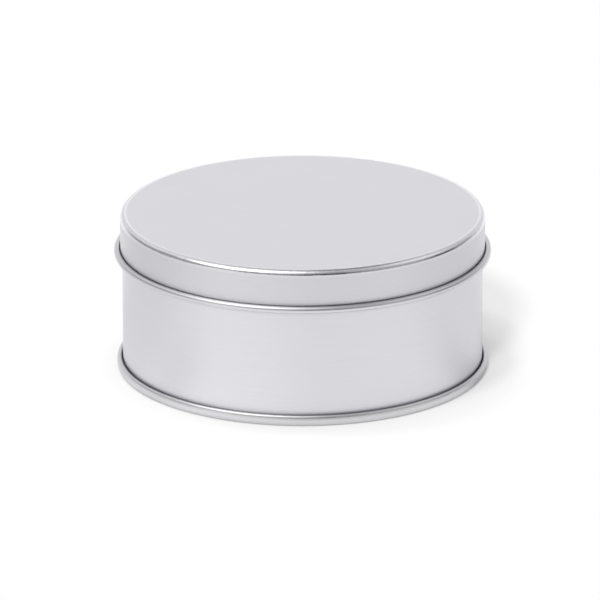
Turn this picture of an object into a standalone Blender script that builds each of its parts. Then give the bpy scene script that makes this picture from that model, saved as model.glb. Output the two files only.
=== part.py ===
"""Round slip-lid tin of plain tinplate, in three pieces: lid, body wall and base.

Metres, +Z up. The origin is on the table, under the middle of the tin. The body wall's side seam
is at +Y, the back. Every piece is one sheet, described by its middle line from the axis or rim
outwards, turned about Z and thickened to the gauge of the plate.
"""

import math

import bmesh
import bpy

MM = 0.001

# The tin
BODY_DIAMETER = 90.0 * MM
TIN_HEIGHT = 40.0 * MM
SHEET = 0.25 * MM
FACETS = 64
BEND_STEP = 30.0
MERGE_DISTANCE = 0.001 * MM
SMOOTH_UNDER = math.radians(35.0)

# Lid: flat top, rounded shoulder, plain skirt and a rim curled outwards
LID_HEIGHT = 10.7 * MM
LID_CLEARANCE = 0.25 * MM
LID_SEAT_GAP = 0.3 * MM
LID_SHOULDER_RADIUS = 1.35 * MM
LID_SHOULDER_STEP = 18.0
LID_CURL_DIAMETER = 1.8 * MM
LID_CURL_TURN = 295.0

# Body wall: rim curled inwards, side seam at the back and a hook round the foot
BODY_CURL_DIAMETER = 1.5 * MM
BODY_CURL_TURN = 290.0
SIDE_SEAM_WIDTH = 3.0 * MM
SIDE_SEAM_DEPTH = 0.5 * MM
SIDE_SEAM_END_GAP = 0.8 * MM
SIDE_SEAM_GROOVE_DEPTH = 0.1 * MM

# Double seam that joins the base to the body wall
SEAM_GAP = 0.2 * MM
SEAM_HEIGHT = 2.65 * MM
SEAM_FOOT_BEND = 0.55 * MM
BODY_HOOK_GAP = 0.3 * MM

# Base: panel raised inside the seam, with one stiffening step
PANEL_RISE = 3.0 * MM
PANEL_BEND = 0.6 * MM
PANEL_STEP_RADIUS = 36.0 * MM
PANEL_STEP_RISE = 0.6 * MM
PANEL_STEP_BEND = 0.5 * MM
PANEL_STEP_SLOPE = 60.0

# Bright satin tinplate: colour of each piece, and what all three share
LID_COLOUR = (0.79, 0.79, 0.81, 1.0)
BODY_COLOUR = (0.78, 0.78, 0.80, 1.0)
BASE_COLOUR = (0.77, 0.77, 0.79, 1.0)
TINPLATE_METALLIC = 1.0
TINPLATE_ROUGHNESS = 0.38

# Places that several pieces share
HALF_SHEET = SHEET / 2
WALL_RADIUS = BODY_DIAMETER / 2 - HALF_SHEET
LAYER_PITCH = SHEET + SEAM_GAP
BODY_TOP = TIN_HEIGHT - SHEET - LID_SEAT_GAP
PANEL_TOP = PANEL_RISE + SHEET


def clear_scene():
    for obj in list(bpy.data.objects):
        bpy.data.objects.remove(obj, do_unlink=True)


def make_collection(name):
    collection = bpy.data.collections.new(name)
    bpy.context.scene.collection.children.link(collection)
    return collection


def make_tinplate(name, colour):
    material = bpy.data.materials.new(name)
    material.use_nodes = True
    material.diffuse_color = colour
    shader = material.node_tree.nodes["Principled BSDF"]
    shader.inputs["Base Color"].default_value = colour
    shader.inputs["Metallic"].default_value = TINPLATE_METALLIC
    shader.inputs["Roughness"].default_value = TINPLATE_ROUGHNESS
    return material


def bend(centre, radius, start, turn, step=BEND_STEP):
    """Points (radius from Z, height) round a bend. Angles are in degrees, from +X towards +Z."""
    steps = max(1, math.ceil(abs(turn) / step))
    angles = [math.radians(start + turn * i / steps) for i in range(steps + 1)]
    return [(centre[0] + radius * math.cos(a), centre[1] + radius * math.sin(a)) for a in angles]


def turned_sheet(name, middle_line, material, collection):
    """A sheet of tinplate whose middle line, in (radius, height) points, is turned about Z."""
    mesh = bpy.data.meshes.new(name)
    points = [(radius, 0.0, height) for radius, height in middle_line]
    mesh.from_pydata(points, [(i, i + 1) for i in range(len(points) - 1)], [])
    mesh.materials.append(material)
    sheet = bpy.data.objects.new(name, mesh)
    collection.objects.link(sheet)

    turn = sheet.modifiers.new("Turn", "SCREW")
    turn.axis = "Z"
    turn.angle = math.tau
    turn.steps = FACETS
    turn.render_steps = FACETS
    turn.use_merge_vertices = True
    turn.merge_threshold = MERGE_DISTANCE

    gauge = sheet.modifiers.new("Gauge", "SOLIDIFY")
    gauge.thickness = SHEET
    gauge.offset = 0.0
    gauge.use_even_offset = True
    gauge.use_quality_normals = True
    return sheet


def make_box(name, size, centre, collection, turned=0.0):
    """A box of the given size, turned about its own Z axis by an angle in radians."""
    mesh = bpy.data.meshes.new(name)
    shape = bmesh.new()
    bmesh.ops.create_cube(shape, size=1.0)
    bmesh.ops.scale(shape, vec=size, verts=shape.verts)
    shape.to_mesh(mesh)
    shape.free()
    box = bpy.data.objects.new(name, mesh)
    box.location = centre
    box.rotation_euler.z = turned
    box.hide_render = True
    box.display_type = "WIRE"
    collection.objects.link(box)
    return box


def combine(target, tool, operation):
    boolean = target.modifiers.new(tool.name, "BOOLEAN")
    boolean.operation = operation
    boolean.object = tool


def bake_and_shade(sheet):
    """Turns the modifiers into a mesh, smooth along the bends and sharp at the cut edges."""
    graph = bpy.context.evaluated_depsgraph_get()
    mesh = bpy.data.meshes.new_from_object(sheet.evaluated_get(graph))
    mesh.name = sheet.name
    sheet.modifiers.clear()
    sheet.data = mesh
    mesh.shade_smooth()
    mesh.set_sharp_from_angle(angle=SMOOTH_UNDER)


def lid_middle_line():
    top = TIN_HEIGHT - HALF_SHEET
    skirt_radius = BODY_DIAMETER / 2 + LID_CLEARANCE + HALF_SHEET
    shoulder = LID_SHOULDER_RADIUS - HALF_SHEET
    curl = (LID_CURL_DIAMETER - SHEET) / 2
    curl_height = TIN_HEIGHT - LID_HEIGHT + LID_CURL_DIAMETER / 2
    return [
        (0.0, top),
        *bend((skirt_radius - shoulder, top - shoulder), shoulder, 90.0, -90.0, LID_SHOULDER_STEP),
        *bend((skirt_radius + curl, curl_height), curl, 180.0, LID_CURL_TURN),
    ]


def body_middle_line():
    curl = (BODY_CURL_DIAMETER - SHEET) / 2
    rim = bend((WALL_RADIUS - curl, BODY_TOP - BODY_CURL_DIAMETER / 2), curl, 0.0, BODY_CURL_TURN)
    fold_height = SHEET + SEAM_GAP + HALF_SHEET + LAYER_PITCH
    hook_radius = WALL_RADIUS + 2 * LAYER_PITCH
    hook_tip = SEAM_HEIGHT - SHEET - BODY_HOOK_GAP
    return [
        *reversed(rim),
        *bend((WALL_RADIUS + LAYER_PITCH, fold_height), LAYER_PITCH, 180.0, 180.0),
        (hook_radius, hook_tip),
    ]


def base_middle_line():
    panel = PANEL_RISE + HALF_SHEET
    sink_radius = WALL_RADIUS - LAYER_PITCH
    sink_bend = PANEL_BEND - HALF_SHEET
    foot_bend = SEAM_FOOT_BEND
    outer_radius = WALL_RADIUS + 3 * LAYER_PITCH
    foot = HALF_SHEET + foot_bend
    fold_height = SEAM_HEIGHT - HALF_SHEET - LAYER_PITCH
    cover_hook_radius = WALL_RADIUS + LAYER_PITCH
    cover_hook_tip = SHEET + SEAM_GAP + SHEET + SEAM_GAP + HALF_SHEET
    return [
        (0.0, panel + PANEL_STEP_RISE),
        *panel_step(panel),
        *bend((sink_radius - sink_bend, panel - sink_bend), sink_bend, 90.0, -90.0),
        *bend((sink_radius + foot_bend, foot), foot_bend, 180.0, 90.0),
        *bend((outer_radius - foot_bend, foot), foot_bend, 270.0, 90.0),
        *bend((outer_radius - LAYER_PITCH, fold_height), LAYER_PITCH, 0.0, 180.0),
        (cover_hook_radius, cover_hook_tip),
    ]


def panel_step(panel):
    """The two bends of the sloping step that stiffens the base, from the middle outwards."""
    slope = math.radians(PANEL_STEP_SLOPE)
    bends_drop = 2 * PANEL_STEP_BEND * (1 - math.cos(slope))
    bends_run = 2 * PANEL_STEP_BEND * math.sin(slope)
    run = bends_run + (PANEL_STEP_RISE - bends_drop) / math.tan(slope)
    upper = (PANEL_STEP_RADIUS - run, panel + PANEL_STEP_RISE - PANEL_STEP_BEND)
    lower = (PANEL_STEP_RADIUS, panel + PANEL_STEP_BEND)
    return [
        *bend(upper, PANEL_STEP_BEND, 90.0, -PANEL_STEP_SLOPE),
        *bend(lower, PANEL_STEP_BEND, 270.0 - PANEL_STEP_SLOPE, PANEL_STEP_SLOPE),
    ]


def make_lid(collection):
    tinplate = make_tinplate("lid_tinplate", LID_COLOUR)
    lid = turned_sheet("lid", lid_middle_line(), tinplate, collection)
    bake_and_shade(lid)


def make_body_wall(collection, tools):
    """The wall is a strip whose ends lock together in folds that lie flat on its inside."""
    tinplate = make_tinplate("body_tinplate", BODY_COLOUR)
    wall = turned_sheet("body_wall", body_middle_line(), tinplate, collection)
    low = PANEL_TOP + SIDE_SEAM_END_GAP
    high = BODY_TOP - BODY_CURL_DIAMETER - SIDE_SEAM_END_GAP
    middle = (low + high) / 2
    inner_face = WALL_RADIUS - HALF_SHEET - SIDE_SEAM_DEPTH
    depth = WALL_RADIUS - inner_face
    folds = make_box(
        "side_seam_folds",
        (SIDE_SEAM_WIDTH, depth, high - low),
        (0.0, inner_face + depth / 2, middle),
        tools,
    )
    combine(wall, folds, "UNION")
    side = SIDE_SEAM_GROOVE_DEPTH * math.sqrt(2)
    groove = make_box(
        "side_seam_groove",
        (side, side, high - low),
        (0.0, BODY_DIAMETER / 2, middle),
        tools,
        turned=math.radians(45.0),
    )
    combine(wall, groove, "DIFFERENCE")
    bake_and_shade(wall)


def make_base(collection):
    tinplate = make_tinplate("base_tinplate", BASE_COLOUR)
    base = turned_sheet("base", base_middle_line(), tinplate, collection)
    bake_and_shade(base)


def main():
    clear_scene()
    tin = make_collection("round_tin")
    tools = make_collection("cutters")
    make_base(tin)
    make_body_wall(tin, tools)
    make_lid(tin)


main()
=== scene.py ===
"""Round slip-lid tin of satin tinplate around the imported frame: fine meshes, finish, light, camera.

Metres, +Z up. Each piece is one sheet of tinplate. Its middle line runs in (radius, height) from
the axis, or from its upper rim, and the sheet lies half a gauge to each side of that line, turned
about Z. The body wall's side seam is at +Y, the back.
"""

import math
from collections import namedtuple

import bpy
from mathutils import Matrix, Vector


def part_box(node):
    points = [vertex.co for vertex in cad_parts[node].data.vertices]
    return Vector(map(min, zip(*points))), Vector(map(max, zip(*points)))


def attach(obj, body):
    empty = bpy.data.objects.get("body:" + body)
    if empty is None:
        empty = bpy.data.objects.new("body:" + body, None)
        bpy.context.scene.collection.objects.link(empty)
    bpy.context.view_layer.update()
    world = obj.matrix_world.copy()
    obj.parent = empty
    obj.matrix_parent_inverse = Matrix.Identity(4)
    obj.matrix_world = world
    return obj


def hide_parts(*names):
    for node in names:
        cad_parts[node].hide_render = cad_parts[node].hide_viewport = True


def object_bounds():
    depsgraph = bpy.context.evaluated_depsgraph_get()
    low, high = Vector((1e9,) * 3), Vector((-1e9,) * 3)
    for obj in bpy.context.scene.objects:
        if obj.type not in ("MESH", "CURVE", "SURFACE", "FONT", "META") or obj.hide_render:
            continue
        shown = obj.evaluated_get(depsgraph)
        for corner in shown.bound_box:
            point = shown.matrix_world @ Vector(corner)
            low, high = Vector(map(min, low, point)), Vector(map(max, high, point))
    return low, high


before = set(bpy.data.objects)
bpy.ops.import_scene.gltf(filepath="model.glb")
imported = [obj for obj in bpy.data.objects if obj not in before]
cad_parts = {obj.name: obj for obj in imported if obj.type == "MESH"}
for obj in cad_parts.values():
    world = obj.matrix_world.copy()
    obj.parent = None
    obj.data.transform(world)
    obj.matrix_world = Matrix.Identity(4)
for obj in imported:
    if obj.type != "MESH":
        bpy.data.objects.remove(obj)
cad_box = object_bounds()

# A point of a middle line, with the angle that the sheet's outer face looks in there, and how
# burnished the sheet is, from 0 to 1
Station = namedtuple("Station", "radius height facing bent")

# The marks on a sheet, or how much each of them changes its tone or its roughness
Marks = namedtuple("Marks", "clouds grain wear scuffs")

# The darker colour of a skirt, painted shade of its side, the height where it starts and the
# lower one where it is full
Skirt = namedtuple("Skirt", "colour start full")

# What shiny metal mirrors in one direction: full up to the inner angle from it, gone beyond the
# outer angle. A later patch lies over an earlier one.
Patch = namedtuple("Patch", "azimuth elevation inner outer light")

# A far lamp in one direction, which looks as wide as its spread
Lamp = namedtuple("Lamp", "name azimuth elevation spread strength")

MM = 0.001

# Angles: a face's, from +radius towards +Z, and one about Z, from +X towards +Y
UPWARDS = math.radians(90.0)
BACK = math.radians(90.0)

# Sheet, and how finely it is turned and bent
SHEET = 0.25 * MM
HALF_SHEET = SHEET / 2
FACETS = 256
BEND_STEP = 10.0
RUN_STEP = 4.0 * MM
BEND_FADE = 0.35 * MM
SHORTEST_RUN = 3 * BEND_FADE
SHARP_OVER = math.radians(50.0)

# Lid
LID_LOW, LID_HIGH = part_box("lid")
LID_SHOULDER_RADIUS = 1.35 * MM
LID_CURL_DIAMETER = 1.8 * MM
LID_CURL_TURN = 295.0

# Body wall
BODY_LOW, BODY_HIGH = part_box("body_wall")
BODY_CURL_DIAMETER = 1.5 * MM
BODY_CURL_TURN = 290.0

# Side seam of the body wall
SIDE_SEAM_WIDTH = 3.0 * MM
SIDE_SEAM_DEPTH = 0.5 * MM
SIDE_SEAM_EDGE = 0.3 * MM
SIDE_SEAM_END_GAP = 0.8 * MM
SIDE_SEAM_GROOVE_DEPTH = 0.1 * MM
SIDE_SEAM_GROOVE_WIDTH = 0.3 * MM
SIDE_SEAM_STEP = 0.05 * MM

# Double seam that joins the base to the body wall. Its outer face leans in at both ends.
DOUBLE_SEAM_GAP = 0.2 * MM
DOUBLE_SEAM_HEIGHT = 2.65 * MM
DOUBLE_SEAM_LEAN = 16.0
DOUBLE_SEAM_FACE_STEP = DOUBLE_SEAM_LEAN / 3
LAYER_PITCH = SHEET + DOUBLE_SEAM_GAP
FOOT_BEND = 0.55 * MM
BODY_HOOK_GAP = 0.3 * MM

# Base
BASE_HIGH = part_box("base")[1]
PANEL_RISE = 3.0 * MM
PANEL_BEND = 0.6 * MM
PANEL_STEP_RADIUS = 36.0 * MM
PANEL_STEP_RISE = 0.6 * MM
PANEL_STEP_BEND = 0.5 * MM
PANEL_STEP_SLOPE = 60.0

# Middle lines of the straight wall and of the straight skirt
WALL_RADIUS = BODY_HIGH.x - HALF_SHEET - 2 * LAYER_PITCH
SKIRT_RADIUS = LID_HIGH.x - LID_CURL_DIAMETER + HALF_SHEET

# Finish: satin tinplate, burnished where it is bent
LID_COLOUR = (0.833, 0.825, 0.865, 1.0)
# Painted shade: the lid's skirt is coloured darker than its top
SKIRT_PAINTED_SHADE_COLOUR = (0.708, 0.703, 0.731, 1.0)
BODY_COLOUR = (0.776, 0.769, 0.805, 1.0)
BASE_COLOUR = (0.738, 0.735, 0.754, 1.0)
FLAT_ROUGHNESS = 0.4
BENT_ROUGHNESS = 0.22
EDGE_BURNISH = 0.3
SIDE_SEAM_BURNISH = 0.6
# Painted shade: the colour darkens where other surfaces are within reach, by up to these shares
CREVICE_REACH = 1.5 * MM
CREVICE_SAMPLES = 4
CREVICE_PAINTED_SHADE = 0.35
LID_CREVICE_PAINTED_SHADE = 0.25

# Marks on the sheet. SCUFF_START and SCUFF_FULL are levels of the scuffs' noise.
CLOUD_SIZE = 14.0 * MM
CLOUD_DETAIL = 2.0
GRAIN_LENGTH = 20.0 * MM
GRAIN_WIDTH = 0.4 * MM
GRAIN_DETAIL = 3.0
GRAIN_HEIGHT = 0.002 * MM
WEAR_SIZE = 1.6 * MM
WEAR_DETAIL = 4.0
WEAR_HEIGHT = 0.05 * MM
SCUFF_LENGTH = 25.0 * MM
SCUFF_WIDTH = 0.3 * MM
SCUFF_DETAIL = 1.0
SCUFF_TURN = math.radians(35.0)
SCUFF_START = 0.2
SCUFF_FULL = 0.26
MARK_TONE = Marks(clouds=0.05, grain=0.07, wear=0.12, scuffs=-0.02)
MARK_ROUGHNESS = Marks(clouds=0.08, grain=0.08, wear=0.16, scuffs=0.05)
NOISE_MIDDLE = 0.5

# Sockets of the Mix node, which has an A, a B and a result for each kind of value
NUMBER_A, NUMBER_B, NUMBER_RESULT = 2, 3, 0
COLOUR_A, COLOUR_B, COLOUR_RESULT = 6, 7, 2

# Studio. Its angles are in degrees: azimuths from the camera's side, -Y, towards +X, and
# elevations up from the floor.
WHITE = (1.0, 1.0, 1.0, 1.0)
ROOM_LIGHT = 0.25
REFLECTED_ROOM = 0.36
REFLECTED_PATCHES = [
    # Overhead
    Patch(0.0, 90.0, 20.0, 40.0, 0.55),
    # Behind, low
    Patch(180.0, 4.0, 26.0, 50.0, 1.1),
    Patch(180.0, 0.0, 12.0, 26.0, 0.8),
    Patch(180.0, 18.0, 8.0, 18.0, 1.03),
    Patch(-153.0, 16.0, 8.0, 20.0, 0.78),
    Patch(153.0, 16.0, 8.0, 20.0, 0.78),
    # Behind, higher
    Patch(-172.0, 60.0, 6.0, 20.0, 0.5),
    Patch(160.0, 60.0, 5.0, 14.0, 0.25),
    Patch(-160.0, 34.0, 6.0, 18.0, 0.7),
    Patch(160.0, 34.0, 6.0, 18.0, 0.7),
    Patch(171.0, 35.0, 4.0, 12.0, 0.62),
    Patch(-130.0, 42.0, 12.0, 26.0, 0.78),
    # To the right
    Patch(75.0, 40.0, 16.0, 34.0, 0.53),
    Patch(118.0, 46.0, 12.0, 28.0, 0.6),
    Patch(102.0, 50.0, 8.0, 22.0, 0.95),
    Patch(132.0, 72.0, 6.0, 16.0, 0.23),
    Patch(128.0, 0.0, 5.0, 14.0, 0.8),
    # In front, and a dark one at the right
    Patch(-18.0, 50.0, 6.0, 22.0, 0.75),
    Patch(14.0, 14.0, 8.0, 24.0, 0.06),
    Patch(98.0, 8.0, 6.0, 18.0, 0.04),
    # In front and to the left, the brightest two
    Patch(-50.0, -14.0, 10.0, 28.0, 1.25),
    Patch(-56.0, 58.0, 16.0, 34.0, 2.1),
]

# Floor. Its patches lie over its glow, each in its direction from the tin's middle: painted
# light and shade that only shiny surfaces see.
FLOOR_REACH = 6.0
FLOOR_COLOUR = (0.95, 0.95, 0.95, 1.0)
FLOOR_GLOW_SHARE = 0.56
REFLECTED_FLOOR_GLOW_SHARE = 0.35
# Painted shadow: the floor's glow dims within this reach of the tin's foot
FLOOR_CONTACT = 12.0 * MM
FLOOR_CONTACT_SAMPLES = 8
FLOOR_CONTACT_PAINTED_SHADOW = 0.4
REFLECTED_FLOOR_PAINTED_LIGHT_AND_SHADE = [
    Patch(-37.0, -12.0, 8.0, 42.0, 1.12),
    Patch(-98.0, -12.0, 8.0, 38.0, 0.6),
    Patch(92.0, -12.0, 8.0, 38.0, 0.74),
    Patch(108.0, -12.0, 6.0, 16.0, 0.66),
    Patch(-145.0, -10.0, 8.0, 20.0, 1.3),
    Patch(148.0, -8.0, 6.0, 14.0, 1.3),
    Patch(-58.0, -20.0, 4.0, 13.0, 0.7),
    Patch(78.0, -24.0, 6.0, 13.0, 0.3),
    Patch(180.0, 10.0, 10.0, 18.0, 0.45),
]

LAMPS = [
    Lamp("rear_lamp", -129.0, 72.0, 10.0, 0.4),
    Lamp("overhead_lamp", -40.0, 69.0, 10.0, 0.9),
    Lamp("front_lamp", -14.5, 42.0, 9.0, 1.95),
]

# Camera, fitted to the photograph's outlines
CAMERA_DISTANCE = 1.9
CAMERA_ELEVATION = 19.4
CAMERA_LENS_MM = 455.7
CAMERA_SENSOR_MM = 36.0
CAMERA_NEAR = 0.1
CAMERA_FAR = 20.0
CAMERA_TARGET = Vector((-0.00065, 0.0, 0.0166))


def bend(centre, radius, start, turn, bent=1.0, step=BEND_STEP):
    """Stations round a bend. Angles are in degrees, from +radius towards +Z. The sheet's outer face
    is the one on the left of the line. bent is how burnished the bend is."""
    count = max(1, math.ceil(abs(turn) / step))
    flip = math.pi if turn > 0 else 0.0
    stations = []
    for i in range(count + 1):
        angle = math.radians(start + turn * i / count)
        place = centre[0] + radius * math.cos(angle), centre[1] + radius * math.sin(angle)
        stations.append(Station(*place, angle + flip, bent))
    return stations


def with_runs(line):
    """The line with stations along its straight runs, where the sheet isn't bent."""
    full = [line[0]]
    for a, b in zip(line, line[1:]):
        length = math.hypot(b.radius - a.radius, b.height - a.height)
        if length > SHORTEST_RUN:
            fade = BEND_FADE / length
            count = max(1, math.ceil((length - 2 * BEND_FADE) / RUN_STEP))
            for i in range(count + 1):
                share = fade + i / count * (1 - 2 * fade)
                radius = a.radius + (b.radius - a.radius) * share
                height = a.height + (b.height - a.height) * share
                full.append(Station(radius, height, a.facing, 0.0))
        full.append(b)
    return full


def lid_line():
    top = LID_HIGH.z - HALF_SHEET
    shoulder = LID_SHOULDER_RADIUS - HALF_SHEET
    curl = (LID_CURL_DIAMETER - SHEET) / 2
    curl_height = LID_LOW.z + LID_CURL_DIAMETER / 2
    return [
        Station(0.0, top, UPWARDS, 0.0),
        *bend((SKIRT_RADIUS - shoulder, top - shoulder), shoulder, 90.0, -90.0),
        *bend((SKIRT_RADIUS + curl, curl_height), curl, 180.0, LID_CURL_TURN, EDGE_BURNISH),
    ]


def body_line():
    curl = (BODY_CURL_DIAMETER - SHEET) / 2
    curl_centre = WALL_RADIUS - curl, BODY_HIGH.z - BODY_CURL_DIAMETER / 2
    fold_centre = WALL_RADIUS + LAYER_PITCH, BODY_LOW.z + HALF_SHEET + LAYER_PITCH
    rim = bend(curl_centre, curl, BODY_CURL_TURN, -BODY_CURL_TURN)
    fold = bend(fold_centre, LAYER_PITCH, 180.0, 180.0)
    hook_tip = DOUBLE_SEAM_HEIGHT - SHEET - BODY_HOOK_GAP
    tip = Station(WALL_RADIUS + 2 * LAYER_PITCH, hook_tip, fold[-1].facing, 0.0)
    return [*rim, *fold, tip]


def base_line():
    panel = PANEL_RISE + HALF_SHEET
    sink_radius = WALL_RADIUS - LAYER_PITCH
    sink_bend = PANEL_BEND - HALF_SHEET
    outer_radius = WALL_RADIUS + 3 * LAYER_PITCH
    foot = HALF_SHEET + FOOT_BEND
    fold_height = DOUBLE_SEAM_HEIGHT - HALF_SHEET - LAYER_PITCH
    fold_centre = outer_radius - LAYER_PITCH, fold_height
    lean = DOUBLE_SEAM_LEAN
    fold = bend(fold_centre, LAYER_PITCH, lean, 180.0 - lean, EDGE_BURNISH)
    hook_tip = HALF_SHEET + 2 * LAYER_PITCH
    return [
        Station(0.0, panel + PANEL_STEP_RISE, UPWARDS, 0.0),
        *panel_step(panel),
        *bend((sink_radius - sink_bend, panel - sink_bend), sink_bend, 90.0, -90.0),
        *bend((sink_radius + FOOT_BEND, foot), FOOT_BEND, 180.0, 90.0),
        *bend((outer_radius - FOOT_BEND, foot), FOOT_BEND, 270.0, 90.0 - lean, EDGE_BURNISH),
        *seam_face(outer_radius, foot, fold_height),
        *fold,
        Station(WALL_RADIUS + LAYER_PITCH, hook_tip, fold[-1].facing, 0.0),
    ]


def seam_face(outer_radius, foot, fold_height):
    """The double seam's outer face, which bulges a little between the foot and the fold."""
    lean = math.radians(DOUBLE_SEAM_LEAN)
    half_height = (fold_height - foot + (FOOT_BEND + LAYER_PITCH) * math.sin(lean)) / 2
    radius = half_height / math.sin(lean)
    low = foot - FOOT_BEND * math.sin(lean)
    edge = outer_radius - FOOT_BEND * (1 - math.cos(lean))
    centre = edge - radius * math.cos(lean), low + half_height
    turn = 2 * DOUBLE_SEAM_LEAN
    face = bend(centre, radius, -DOUBLE_SEAM_LEAN, turn, 0.0, DOUBLE_SEAM_FACE_STEP)
    return face[1:-1]


def panel_step(panel):
    """The two bends of the sloping step that stiffens the base."""
    slope = math.radians(PANEL_STEP_SLOPE)
    bends_drop = 2 * PANEL_STEP_BEND * (1 - math.cos(slope))
    bends_run = 2 * PANEL_STEP_BEND * math.sin(slope)
    run = bends_run + (PANEL_STEP_RISE - bends_drop) / math.tan(slope)
    upper = (PANEL_STEP_RADIUS - run, panel + PANEL_STEP_RISE - PANEL_STEP_BEND)
    lower = (PANEL_STEP_RADIUS, panel + PANEL_STEP_BEND)
    return [
        *bend(upper, PANEL_STEP_BEND, 90.0, -PANEL_STEP_SLOPE),
        *bend(lower, PANEL_STEP_BEND, 270.0 - PANEL_STEP_SLOPE, PANEL_STEP_SLOPE),
    ]


def even_angles():
    """The angles about Z, from +X towards +Y, at which a sheet has points."""
    return [math.tau * i / FACETS for i in range(FACETS)]


def side_seam_angles():
    """Even angles, closer together across the side seam."""
    reach = (SIDE_SEAM_WIDTH / 2 + 2 * SIDE_SEAM_EDGE) / WALL_RADIUS
    count = math.ceil(2 * reach * WALL_RADIUS / SIDE_SEAM_STEP)
    fine = [BACK - reach + 2 * reach * i / count for i in range(count + 1)]
    margin = math.tau / FACETS / 2
    coarse = [a for a in even_angles() if abs(a - BACK) > reach + margin]
    return sorted(fine + coarse)


def smooth_step(x):
    x = min(1.0, max(0.0, x))
    return x * x * (3 - 2 * x)


def side_seam(outer, angle, height):
    """How far the side seam moves the wall's outer or inner face in towards the axis, and how
    burnished it is there: the seam is hammered flat, with a groove along its middle outside."""
    low = BASE_HIGH.z - PANEL_STEP_RISE + SIDE_SEAM_END_GAP
    high = BODY_HIGH.z - BODY_CURL_DIAMETER - SIDE_SEAM_END_GAP
    from_low = smooth_step((height - low) / SIDE_SEAM_EDGE)
    along = from_low * smooth_step((high - height) / SIDE_SEAM_EDGE)
    across = abs(angle - BACK) * WALL_RADIUS
    to_edge = SIDE_SEAM_WIDTH / 2 + SIDE_SEAM_EDGE / 2 - across
    folds = along * smooth_step(to_edge / SIDE_SEAM_EDGE)
    groove = along * (1 - smooth_step(across / (SIDE_SEAM_GROOVE_WIDTH / 2)))
    inset = SIDE_SEAM_GROOVE_DEPTH * groove if outer else SIDE_SEAM_DEPTH * folds
    return inset, SIDE_SEAM_BURNISH * folds


def no_seam(outer, angle, height):
    return 0.0, 0.0


def faces_between(rings, closed):
    """The faces between each ring of points and the next. A ring on the axis is one point."""
    if closed:
        rings = [*rings, rings[0]]
    faces = []
    for here, there in zip(rings, rings[1:]):
        for j in range(len(here)):
            k = (j + 1) % len(here)
            corners = [here[j], there[j], there[k], here[k]]
            faces.append(list(dict.fromkeys(corners)))
    return faces


def add_object(name, data):
    new = bpy.data.objects.new(name, data)
    bpy.context.scene.collection.objects.link(new)
    return new


def turned_sheet(name, line, angles, seam=no_seam):
    """The closed sheet round a middle line. seam says how far a point of a face moves in towards
    the axis, and how burnished the seam leaves it."""
    line = with_runs(line)
    outline = [(s, 1) for s in line] + [(s, -1) for s in reversed(line)]
    points, bent, rings = [], [], []
    for station, side in outline:
        radius = station.radius + side * HALF_SHEET * math.cos(station.facing)
        height = station.height + side * HALF_SHEET * math.sin(station.facing)
        first = len(points)
        if station.radius == 0:
            points.append((0.0, 0.0, height))
            bent.append(station.bent)
            rings.append([first] * len(angles))
        else:
            for angle in angles:
                inset, burnish = seam(side > 0, angle, height)
                r = radius - inset
                points.append((r * math.cos(angle), r * math.sin(angle), height))
                bent.append(max(station.bent, burnish))
            rings.append(list(range(first, len(points))))
    mesh = bpy.data.meshes.new(name)
    mesh.from_pydata(points, [], faces_between(rings, closed=line[0].radius > 0))
    mesh.attributes.new("bent", "FLOAT", "POINT").data.foreach_set("value", bent)
    mesh.shade_smooth()
    mesh.set_sharp_from_angle(angle=SHARP_OVER)
    return add_object(name, mesh)


def add(tree, kind, inputs=None, **settings):
    """Adds a node, sets its properties, and links or sets its inputs."""
    node = tree.nodes.new(kind)
    for key, value in settings.items():
        setattr(node, key, value)
    for key, value in (inputs or {}).items():
        if isinstance(value, bpy.types.NodeSocket):
            tree.links.new(value, node.inputs[key])
        else:
            node.inputs[key].default_value = value
    return node


def maths(tree, operation, a, b):
    return add(tree, "ShaderNodeMath", {0: a, 1: b}, operation=operation).outputs[0]


def vector_maths(tree, operation, a, b=(0.0, 0.0, 0.0)):
    return add(tree, "ShaderNodeVectorMath", {0: a, 1: b}, operation=operation).outputs["Vector"]


def total(tree, *terms):
    result = terms[0]
    for term in terms[1:]:
        result = maths(tree, "ADD", result, term)
    return result


def weighted(tree, marks, weights):
    return [maths(tree, "MULTIPLY", mark, weight) for mark, weight in zip(marks, weights)]


def mix(tree, share, a, b):
    inputs = {"Factor": share, NUMBER_A: a, NUMBER_B: b}
    return add(tree, "ShaderNodeMix", inputs, data_type="FLOAT").outputs[NUMBER_RESULT]


def mix_colours(tree, share, a, b):
    inputs = {"Factor": share, COLOUR_A: a, COLOUR_B: b}
    return add(tree, "ShaderNodeMix", inputs, data_type="RGBA").outputs[COLOUR_RESULT]


def ramp(tree, value, low, high):
    """0 below low, 1 above high, and a smooth step between."""
    inputs = {"Value": value, "From Min": low, "From Max": high}
    node = add(tree, "ShaderNodeMapRange", inputs, interpolation_type="SMOOTHSTEP")
    return node.outputs["Result"]


def scaled(tree, place, length, width=None):
    """The place measured in a mark's length along X, and in its width along Y and Z."""
    width = width or length
    return vector_maths(tree, "MULTIPLY", place, (1 / length, 1 / width, 1 / width))


def noise(tree, place, detail):
    """Noise between about -0.5 and 0.5, with features about one unit of place wide."""
    inputs = {"Vector": place, "Scale": 1.0, "Detail": detail}
    raw = add(tree, "ShaderNodeTexNoise", inputs).outputs["Fac"]
    return maths(tree, "SUBTRACT", raw, NOISE_MIDDLE)


def openness(tree, reach, samples):
    """1 in the open, and less where other surfaces are within reach."""
    node = add(tree, "ShaderNodeAmbientOcclusion", {"Distance": reach}, samples=samples)
    return node.outputs["AO"]


def object_place(tree):
    """The point in the piece's own axes, whole and split."""
    place = add(tree, "ShaderNodeTexCoord").outputs["Object"]
    return place, add(tree, "ShaderNodeSeparateXYZ", {0: place}).outputs


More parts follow.
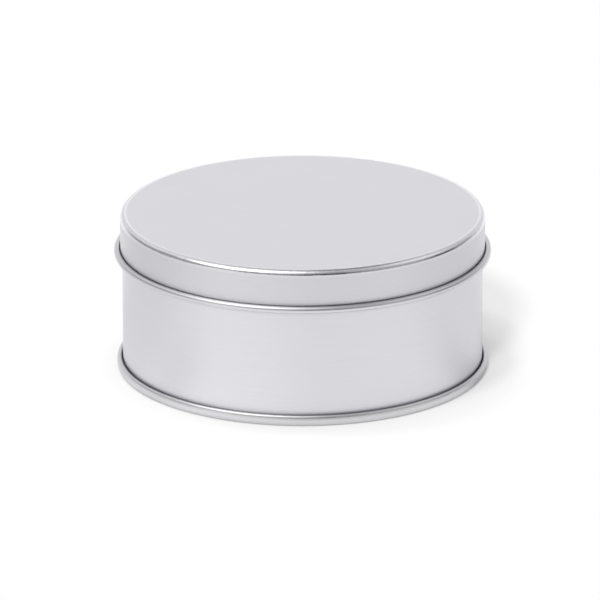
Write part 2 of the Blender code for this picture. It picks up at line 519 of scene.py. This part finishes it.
def place_on_drawn_sheet(tree, top, radius):
    """Where a point of a drawn plate lay while it was flat: the skirt is laid out flat round it."""
    place, axes = object_place(tree)
    drop = maths(tree, "SUBTRACT", top, axes["Z"])
    spread = maths(tree, "ADD", maths(tree, "DIVIDE", drop, radius), 1.0)
    flat = add(tree, "ShaderNodeCombineXYZ", {"X": spread, "Y": spread, "Z": 0.0}).outputs[0]
    return vector_maths(tree, "MULTIPLY", place, flat)


def place_on_rolled_sheet(tree, radius):
    """Where a point of the wall lay while it was flat: how far round from the front, how high."""
    place, axes = object_place(tree)
    front = maths(tree, "MULTIPLY", axes["Y"], -1.0)
    along = maths(tree, "MULTIPLY", maths(tree, "ARCTAN2", axes["X"], front), radius)
    return add(tree, "ShaderNodeCombineXYZ", {"X": along, "Y": axes["Z"], "Z": 0.0}).outputs[0]


def sheet_marks(tree, place, spot, bent):
    """Faint clouding, rolled grain, wear in patches along the bends, and light scuffs. place is
    where the point lay on the flat sheet, and spot is where it is on the piece."""
    clouds = noise(tree, scaled(tree, place, CLOUD_SIZE), CLOUD_DETAIL)
    grain = noise(tree, scaled(tree, place, GRAIN_LENGTH, GRAIN_WIDTH), GRAIN_DETAIL)
    turn = {"Vector": place, "Angle": SCUFF_TURN}
    turned = add(tree, "ShaderNodeVectorRotate", turn, rotation_type="Z_AXIS").outputs["Vector"]
    streaks = noise(tree, scaled(tree, turned, SCUFF_LENGTH, SCUFF_WIDTH), SCUFF_DETAIL)
    scuffs = ramp(tree, streaks, SCUFF_START, SCUFF_FULL)
    worn = noise(tree, scaled(tree, spot, WEAR_SIZE), WEAR_DETAIL)
    wear = maths(tree, "MULTIPLY", worn, bent)
    return Marks(clouds, grain, wear, scuffs)


def relief(tree, marks):
    """The surface's normal, dented where it is worn and ridged by the grain."""
    dents = {"Height": marks.wear, "Distance": WEAR_HEIGHT}
    dented = add(tree, "ShaderNodeBump", dents).outputs["Normal"]
    ridges = {"Height": marks.grain, "Distance": GRAIN_HEIGHT, "Normal": dented}
    return add(tree, "ShaderNodeBump", ridges).outputs["Normal"]


def tinplate(name, find_place, colour, crevice_painted_shade, skirt=None):
    """Satin tinplate with its marks, burnished where it is bent, with painted shade darkening its
    crevices. A piece's skirt can be given a darker colour, painted shade of its side."""
    material = bpy.data.materials.new(name)
    material.use_nodes = True
    tree = material.node_tree
    place = find_place(tree)
    spot, axes = object_place(tree)
    bent = add(tree, "ShaderNodeAttribute", attribute_name="bent").outputs["Fac"]
    marks = sheet_marks(tree, place, spot, bent)
    open_share = openness(tree, CREVICE_REACH, CREVICE_SAMPLES)
    plain_roughness = mix(tree, bent, FLAT_ROUGHNESS, BENT_ROUGHNESS)
    roughness = total(tree, plain_roughness, *weighted(tree, marks, MARK_ROUGHNESS))
    tone = total(tree, 1.0, *weighted(tree, marks, MARK_TONE))
    # Painted shade in the crevices
    tone = maths(tree, "MULTIPLY", tone, mix(tree, open_share, 1.0 - crevice_painted_shade, 1.0))
    # Painted shade: the skirt takes its darker colour below the shoulder
    if skirt:
        above = ramp(tree, axes["Z"], skirt.full, skirt.start)
        colour = mix_colours(tree, above, skirt.colour, colour)
    toned = add(tree, "ShaderNodeHueSaturation", {"Color": colour, "Value": tone}).outputs["Color"]
    normal = relief(tree, marks)
    shader = tree.nodes["Principled BSDF"]
    shader.inputs["Metallic"].default_value = 1.0
    tree.links.new(toned, shader.inputs["Base Color"])
    tree.links.new(roughness, shader.inputs["Roughness"])
    tree.links.new(normal, shader.inputs["Normal"])
    return material


def put_in_frame(piece, material, node, body):
    """Gives the piece its material, and lets it ride on a body and stand for a CAD node."""
    piece.data.materials.append(material)
    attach(piece, body)
    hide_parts(node)


def make_lid():
    lid = turned_sheet("lid_sheet", lid_line(), even_angles())
    material = tinplate(
        "lid_tinplate",
        lambda tree: place_on_drawn_sheet(tree, LID_HIGH.z, SKIRT_RADIUS),
        LID_COLOUR,
        LID_CREVICE_PAINTED_SHADE,
        Skirt(SKIRT_PAINTED_SHADE_COLOUR, LID_HIGH.z - SHEET, LID_HIGH.z - LID_SHOULDER_RADIUS),
    )
    put_in_frame(lid, material, "lid", "lid")


def make_body():
    body = turned_sheet("body_sheet", body_line(), side_seam_angles(), side_seam)
    material = tinplate(
        "body_tinplate",
        lambda tree: place_on_rolled_sheet(tree, WALL_RADIUS),
        BODY_COLOUR,
        CREVICE_PAINTED_SHADE,
    )
    put_in_frame(body, material, "body_wall", "tin")


def make_base():
    base = turned_sheet("base_sheet", base_line(), even_angles())
    material = tinplate(
        "base_tinplate",
        lambda tree: place_on_drawn_sheet(tree, BASE_HIGH.z, WALL_RADIUS),
        BASE_COLOUR,
        CREVICE_PAINTED_SHADE,
    )
    put_in_frame(base, material, "base", "tin")


def direction(azimuth, elevation):
    azimuth, elevation = math.radians(azimuth), math.radians(elevation)
    flat = math.cos(elevation)
    return Vector((flat * math.sin(azimuth), -flat * math.cos(azimuth), math.sin(elevation)))


def add_patch(tree, way, under, patch):
    """A round soft-edged patch of light or dark over the lights under it."""
    inputs = {0: way, 1: direction(patch.azimuth, patch.elevation)}
    near = add(tree, "ShaderNodeVectorMath", inputs, operation="DOT_PRODUCT").outputs["Value"]
    outer, inner = math.radians(patch.outer), math.radians(patch.inner)
    share = ramp(tree, near, math.cos(outer), math.cos(inner))
    return mix(tree, share, under, patch.light)


def seen_by(tree):
    """Two 0 or 1 values: the ray is the camera's, and it is the camera's, glossy or transmitted."""
    path = add(tree, "ShaderNodeLightPath").outputs
    by_camera = path["Is Camera Ray"]
    shiny = maths(tree, "MAXIMUM", path["Is Glossy Ray"], path["Is Transmission Ray"])
    return by_camera, maths(tree, "MAXIMUM", shiny, by_camera)


def floor_strength(tree, by_camera):
    """How brightly the floor glows: less beside the tin's foot, a painted shadow, and, where shiny
    surfaces see it, as its patches of painted light and shade say."""
    # Painted shadow beside the tin's foot
    open_share = openness(tree, FLOOR_CONTACT, FLOOR_CONTACT_SAMPLES)
    contact_painted_shadow = mix(tree, open_share, 1.0 - FLOOR_CONTACT_PAINTED_SHADOW, 1.0)
    place = add(tree, "ShaderNodeNewGeometry").outputs["Position"]
    tin_middle = (cad_box[0] + cad_box[1]) / 2
    way = vector_maths(tree, "NORMALIZE", vector_maths(tree, "SUBTRACT", place, tin_middle))
    # Painted light and shade on the floor, which only shiny surfaces see
    reflected = 1.0
    for patch in REFLECTED_FLOOR_PAINTED_LIGHT_AND_SHADE:
        reflected = add_patch(tree, way, reflected, patch)
    return maths(tree, "MULTIPLY", contact_painted_shadow, mix(tree, by_camera, reflected, 1.0))


def floor_material():
    """White. The camera and shiny surfaces see it partly lit from within, so that it is as white as
    the room and keeps the tin's shadow. Seen from below it isn't there."""
    material = bpy.data.materials.new("floor")
    material.use_nodes = True
    tree = material.node_tree
    tree.nodes.remove(tree.nodes["Principled BSDF"])
    by_camera, seen = seen_by(tree)
    glow_share = mix(tree, by_camera, REFLECTED_FLOOR_GLOW_SHARE, FLOOR_GLOW_SHARE)
    share = maths(tree, "MULTIPLY", seen, glow_share)
    strength = floor_strength(tree, by_camera)
    matt = add(tree, "ShaderNodeBsdfDiffuse", {"Color": FLOOR_COLOUR}).outputs[0]
    glow = add(tree, "ShaderNodeEmission", {"Color": WHITE, "Strength": strength}).outputs[0]
    lit = add(tree, "ShaderNodeMixShader", {0: share, 1: matt, 2: glow}).outputs[0]
    clear = add(tree, "ShaderNodeBsdfTransparent").outputs[0]
    below = add(tree, "ShaderNodeNewGeometry").outputs["Backfacing"]
    both = add(tree, "ShaderNodeMixShader", {0: below, 1: lit, 2: clear}).outputs[0]
    tree.links.new(both, tree.nodes["Material Output"].inputs["Surface"])
    return material


def make_floor():
    reach = FLOOR_REACH
    corners = [(-reach, -reach, 0), (reach, -reach, 0), (reach, reach, 0), (-reach, reach, 0)]
    mesh = bpy.data.meshes.new("floor")
    mesh.from_pydata(corners, [], [(0, 1, 2, 3)])
    floor = add_object("floor", mesh)
    mesh.materials.append(floor_material())


def make_world():
    """A white studio. Shiny surfaces also see its lights and its unlit side."""
    world = bpy.data.worlds.new("studio")
    bpy.context.scene.world = world
    world.use_nodes = True
    tree = world.node_tree
    way = add(tree, "ShaderNodeTexCoord").outputs["Generated"]
    reflected = REFLECTED_ROOM
    for patch in REFLECTED_PATCHES:
        reflected = add_patch(tree, way, reflected, patch)
    by_camera, seen = seen_by(tree)
    strength = mix(tree, by_camera, mix(tree, seen, ROOM_LIGHT, reflected), 1.0)
    background = tree.nodes["Background"]
    background.inputs["Color"].default_value = WHITE
    tree.links.new(strength, background.inputs["Strength"])


def make_lamp(lamp):
    """A far lamp that gives the floor its shadow. The metal shows the world's patches instead."""
    light = bpy.data.lights.new(lamp.name, "SUN")
    light.angle = math.radians(lamp.spread)
    light.energy = lamp.strength
    source = add_object(lamp.name, light)
    source.rotation_mode = "QUATERNION"
    source.rotation_quaternion = direction(lamp.azimuth, lamp.elevation).to_track_quat("Z", "Y")
    source.visible_camera = False
    source.visible_glossy = False


def make_camera():
    data = bpy.data.cameras.new("camera")
    data.lens = CAMERA_LENS_MM
    data.sensor_width = CAMERA_SENSOR_MM
    data.clip_start = CAMERA_NEAR
    data.clip_end = CAMERA_FAR
    camera = add_object("camera", data)
    back = direction(0.0, CAMERA_ELEVATION)
    camera.location = CAMERA_TARGET + back * CAMERA_DISTANCE
    camera.rotation_mode = "QUATERNION"
    camera.rotation_quaternion = back.to_track_quat("Z", "Y")
    bpy.context.scene.camera = camera


def main():
    make_camera()
    make_lid()
    make_body()
    make_base()
    make_floor()
    make_world()
    for lamp in LAMPS:
        make_lamp(lamp)
    bpy.context.scene.view_settings.view_transform = "Standard"


main()
